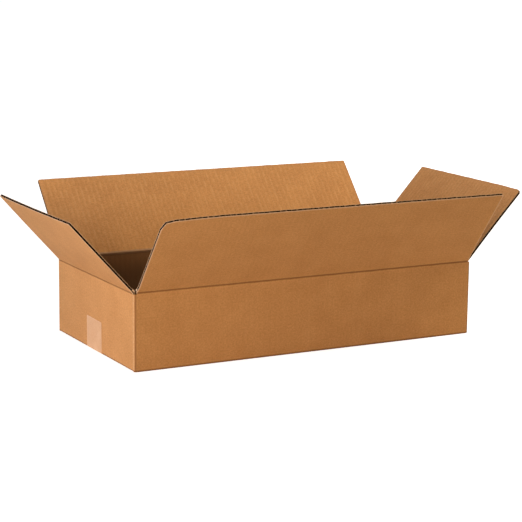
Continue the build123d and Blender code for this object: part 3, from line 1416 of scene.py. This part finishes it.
@dataclass(frozen=True)
class TapeFinish:
    """Thin pale packing tape that shows the board a little through its adhesive."""

    name: str = "tan_packing_tape"
    film: Colour = (0.60, 0.32, 0.14)
    stuck: Colour = (0.53, 0.262, 0.108)
    air: Colour = (0.66, 0.385, 0.19)
    edge: Colour = (0.70, 0.41, 0.20)
    seed: Triple = (3.1, 0.7, 0.2)
    stripe_phase: float = 0.4
    stripe_sharpness: float = 1.4
    mottle: tuple[float, ...] = (0.42, 0.62, 0.0, 0.45)
    trapped: Pair = (0.56, 0.66)
    roughness: tuple[float, ...] = (0.35, 0.65, 0.38, 0.52)
    specular: float = 0.4
    bump: Pair = (0.25, 0.0006)
    air_share: float = 0.5
    stripe_share: float = 0.16
    edge_share: float = 0.5

    def build(self, groups: PaperGroups) -> Material:
        """Builds the material.

        Args:
            groups: The shared effects.

        Returns:
            The new material.
        """
        sketch = MaterialSketch.start(self.name)
        effects = sketch.place(groups, self.seed, self.stripe_phase, self.stripe_sharpness)
        mottle = sketch.ramp(effects["Formation"], *self.mottle)
        layers = [
            (sketch.ramp(effects["Cloud"], *self.trapped), self.air_share, self.air),
            (effects["Stripe"], self.stripe_share, self.stuck),
            (effects["Rim"], self.edge_share, self.edge),
        ]
        return sketch.finish(
            {
                "Base Color": sketch.paint(sketch.blend(mottle, self.film, self.stuck), layers),
                "Roughness": sketch.ramp(effects["Formation"], *self.roughness, eased=False),
                "Specular IOR Level": self.specular,
            },
            bump={"Height": effects["Cloud"], "Strength": self.bump[0], "Distance": self.bump[1]},
        )


@dataclass(frozen=True)
class SoftLamp:
    """A square soft lamp that looks at the carton."""

    name: str
    place: Triple
    size: float
    power: float
    colour: Colour
    aim: Triple = (0.0, 0.0, 0.1)

    def build(self) -> None:
        """Adds the lamp to the scene."""
        data = bpy.data.lights.new(self.name, "AREA")
        data.shape, data.size, data.energy, data.color = "SQUARE", self.size, self.power, self.colour
        lamp = bpy.data.objects.new(self.name, data)
        lamp.location = self.place
        ahead = Vector(self.aim) - Vector(self.place)
        lamp.rotation_mode = "QUATERNION"
        lamp.rotation_quaternion = ahead.to_track_quat("-Z", "Y")
        lamp.visible_camera = False
        bpy.context.scene.collection.objects.link(lamp)


@dataclass
class Studio:
    """White floor, soft lamps and the camera at the photograph's viewing angle."""

    camera_place: Triple = (-1.14551, -2.12662, 0.57)
    camera_right: Triple = (0.88233858, -0.47048756, 0.01095839)
    camera_up: Triple = (0.07993979, 0.17278232, 0.9817107)
    camera_ahead: Triple = (0.46377609, 0.86532521, -0.19006318)
    lens: float = 120.7921
    sensor: float = 36.0
    far_clip: float = 200.0
    floor_size: float = 40.0
    floor_colour: Colour = (0.86, 0.86, 0.86)
    floor_glow: tuple[float, ...] = (0.6, 2.2, 0.78, 1.0)
    world_colour: Colour = (1.0, 1.0, 1.0)
    world_strength: float = 0.04
    lamps: tuple[SoftLamp, ...] = (
        SoftLamp("left_lamp", (-2.8, -0.3, 0.15), 1.1, 43.0, (0.76, 1.0, 1.55)),
        SoftLamp("front_lamp", (-1.4, -1.02, 0.42), 0.9, 18.3, (1.17, 1.0, 0.82)),
        SoftLamp("top_lamp", (0.9, -0.25, 1.2), 0.8, 11.0, (1.12, 1.0, 0.8)),
        SoftLamp("back_lamp", (1.7, 2.3, 0.6), 1.2, 26.0, (1.08, 1.0, 0.9)),
    )

    def camera(self) -> None:
        """Places the camera as the photograph was taken."""
        data = bpy.data.cameras.new("camera")
        data.lens, data.sensor_width, data.clip_end = self.lens, self.sensor, self.far_clip
        camera = bpy.data.objects.new("camera", data)
        bpy.context.scene.collection.objects.link(camera)
        columns = (self.camera_right, self.camera_up, tuple(-value for value in self.camera_ahead))
        turned = Matrix(columns).transposed().to_4x4()
        camera.matrix_world = Matrix.Translation(Vector(self.camera_place)) @ turned
        bpy.context.scene.camera = camera

    @staticmethod
    def seen(sketch: NodeSketch) -> Socket:
        """Tells the rays that come from the camera, straight or by way of gloss or glass.

        Args:
            sketch: The nodes that ask.

        Returns:
            A socket that is 1 for such a ray.
        """
        path = sketch.add("ShaderNodeLightPath").outputs
        seen = sketch.math("MAXIMUM", path["Is Camera Ray"], path["Is Glossy Ray"])
        return sketch.math("MAXIMUM", seen, path["Is Transmission Ray"])

    def floor(self) -> None:
        """Lays the white floor, which keeps the carton's shadow."""
        mesh = bpy.data.meshes.new("studio_floor")
        half = self.floor_size / 2.0
        corners = [(-half, -half, 0.0), (half, -half, 0.0), (half, half, 0.0), (-half, half, 0.0)]
        mesh.from_pydata(corners, [], [(0, 1, 2, 3)])
        floor = bpy.data.objects.new("studio_floor", mesh)
        bpy.context.scene.collection.objects.link(floor)
        sketch = MaterialSketch.start("white_floor")
        spot = sketch.add("ShaderNodeNewGeometry").outputs["Position"]
        away = sketch.vector("LENGTH", spot).outputs["Value"]
        glow = sketch.math("MULTIPLY", self.seen(sketch), sketch.ramp(away, *self.floor_glow))
        material = sketch.finish({
            "Base Color": self.floor_colour, "Roughness": 1.0, "Specular IOR Level": 0.0,
            "Emission Color": self.world_colour, "Emission Strength": glow,
        })
        dress(floor, [material])

    def world(self) -> None:
        """Lights the carton from all round, and shows white behind it."""
        world = bpy.data.worlds.new("studio")
        world.use_nodes = True
        bpy.context.scene.world = world
        sketch = NodeSketch(world.node_tree)
        world.node_tree.nodes.clear()
        mixed = sketch.add("ShaderNodeMixShader", {0: self.seen(sketch)})
        for socket, strength in ((1, self.world_strength), (2, 1.0)):
            inputs = {"Color": self.world_colour, "Strength": strength}
            sketch.feed(mixed, {socket: sketch.add("ShaderNodeBackground", inputs).outputs[0]})
        sketch.add("ShaderNodeOutputWorld", {"Surface": mixed.outputs[0]})

    def build(self) -> None:
        """Sets up the whole studio."""
        self.camera()
        self.floor()
        self.world()
        for lamp in self.lamps:
            lamp.build()
        bpy.context.scene.view_settings.view_transform = "Standard"


OUTSIDE = KraftFinish(
    name="kraft_outside",
    pale=(0.60, 0.29, 0.098), deep=(0.445, 0.20, 0.060),
    stripe=(0.42, 0.185, 0.058), stripe_share=0.14, stripe_phase=0.25, stripe_sharpness=1.6,
    line=(0.19, 0.072, 0.017), line_share=0.76,
    rim=(0.74, 0.46, 0.26), rim_share=0.75,
    seed=(0.0, 0.0, 0.0), foot_share=0.7,
)
INSIDE = KraftFinish(
    name="kraft_inside",
    pale=(0.74, 0.362, 0.129), deep=(0.555, 0.255, 0.084),
    stripe=(0.84, 0.48, 0.20), stripe_share=0.34, stripe_phase=0.25, stripe_sharpness=2.4,
    line=(0.72, 0.47, 0.28), line_share=0.8,
    rim=(0.12, 0.07, 0.04), rim_share=0.2,
    seed=(1.7, 2.3, 0.4), shaded_share=0.85,
)
CUT = KraftFinish(
    name="kraft_cut_edge",
    pale=(0.68, 0.42, 0.23), deep=(0.54, 0.30, 0.145),
    stripe=(0.66, 0.42, 0.24), stripe_share=0.0, stripe_phase=0.5, stripe_sharpness=6.0,
    line=(0.30, 0.14, 0.05), line_share=0.2,
    rim=(0.82, 0.56, 0.35), rim_share=0.7,
    seed=(4.3, 0.9, 1.2), core_share=0.92, specular=0.0,
)

FLAPS = (
    TopFlap(
        Side.FRONT, 36.6, seed=3,
        wear_start=((16.5, 0.0), (5.0, 4.4), (2.0, 18.0), (1.0, 40.0), (0.0, 75.0)),
        bow=0.4, twist=0.3, curl=0.3, skew=1.5, trim=(1.2, -0.7),
    ),
    TopFlap(Side.BACK, 41.9, seed=5, bow=0.2, twist=-0.4, curl=1.1, trim=(0.8, -0.5)),
    TopFlap(Side.LEFT, 42.1, seed=8, bow=-0.8, twist=-0.4, curl=-0.5, skew=1.6),
    TopFlap(
        Side.RIGHT, 43.5, seed=13, wear_start=((5.2, 0.0), (1.0, 4.0), (0.0, 45.0)),
        twist=0.8, curl=1.3, skew=0.6,
    ),
)


def main() -> None:
    """Builds the finishes, the carton's pieces and the studio."""
    logging.basicConfig(level=logging.INFO, format="%(message)s")
    groups = PaperGroups()
    finishes = [finish.build(groups) for finish in (OUTSIDE, INSIDE, CUT)]
    pieces = [CartonShell().build(finishes)]
    pieces += [flap.build(finishes) for flap in FLAPS]
    pieces.append(BottomTape().build(TapeFinish().build(groups)))
    for piece in pieces:
        log.info("%s: %d faces", piece.name, len(piece.data.polygons))
    Studio().build()


if __name__ == "__main__":
    main()
